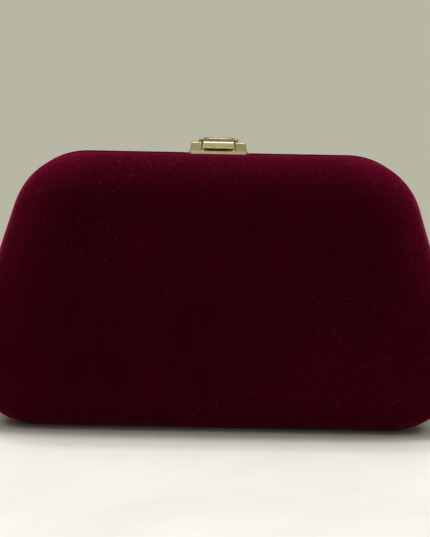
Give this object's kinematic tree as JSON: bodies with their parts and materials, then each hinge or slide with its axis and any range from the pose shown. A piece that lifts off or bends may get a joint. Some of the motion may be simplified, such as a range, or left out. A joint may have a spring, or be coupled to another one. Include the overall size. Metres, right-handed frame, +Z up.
{
  "type": "clutch purse",
  "caption": "Hard-case clutch purse, two padded velvet half shells hinged along the bottom with a lift-lever clasp on top.",
  "frame": {"origin": "middle of the bottom, on the surface it stands on", "axes": "+X to the right seen from the front, +Y to the back, +Z up"},
  "size_m": [0.217, 0.05, 0.127],
  "materials": {
    "velvet": "dark burgundy velvet",
    "foam": "open-cell foam sheet",
    "shell_board": "moulded shell",
    "satin": "satin lining",
    "hinge_steel": "plated steel",
    "clasp_gold": "pale gold plating, polished"
  },
  "bodies": {
    "rear_half": {"rear_velvet_cover": "velvet", "rear_foam_pad": "foam", "rear_shell": "shell_board", "rear_lining": "satin", "rear_hinge_leaf": "hinge_steel", "rear_hinge_rivet_1": "hinge_steel", "rear_hinge_rivet_2": "hinge_steel", "rear_hinge_rivet_3": "hinge_steel", "rear_hinge_rivet_4": "hinge_steel", "clasp_rear_backing": "hinge_steel", "clasp_rear_rivet_1": "clasp_gold", "clasp_rear_rivet_2": "clasp_gold", "clasp_rear_base": "clasp_gold", "hinge_pin": "hinge_steel", "clasp_pin": "clasp_gold", "gusset_left": "satin", "gusset_right": "satin", "rear_slip_pocket": "satin"},
    "front_half": {"front_velvet_cover": "velvet", "front_foam_pad": "foam", "front_shell": "shell_board", "front_lining": "satin", "front_hinge_leaf": "hinge_steel", "front_hinge_rivet_1": "hinge_steel", "front_hinge_rivet_2": "hinge_steel", "front_hinge_rivet_3": "hinge_steel", "front_hinge_rivet_4": "hinge_steel", "clasp_front_backing": "hinge_steel", "clasp_front_rivet_1": "clasp_gold", "clasp_front_rivet_2": "clasp_gold", "clasp_front_base": "clasp_gold", "clasp_catch_spring": "hinge_steel"},
    "clasp_lever": {"clasp_lever": "clasp_gold"}
  },
  "joints": [
    {"name": "shell_open", "type": "hinge", "parent": "rear_half", "child": "front_half", "pos_m": [0, 0, 0.0023], "axis": [1, 0, 0], "range_deg": [0, 60], "deforming": ["gusset_left", "gusset_right", "clasp_catch_spring"]},
    {"name": "lever_lift", "type": "hinge", "parent": "rear_half", "child": "clasp_lever", "pos_m": [0, 0.003, 0.125], "axis": [-1, 0, 0], "range_deg": [0, 80]}
  ]
}
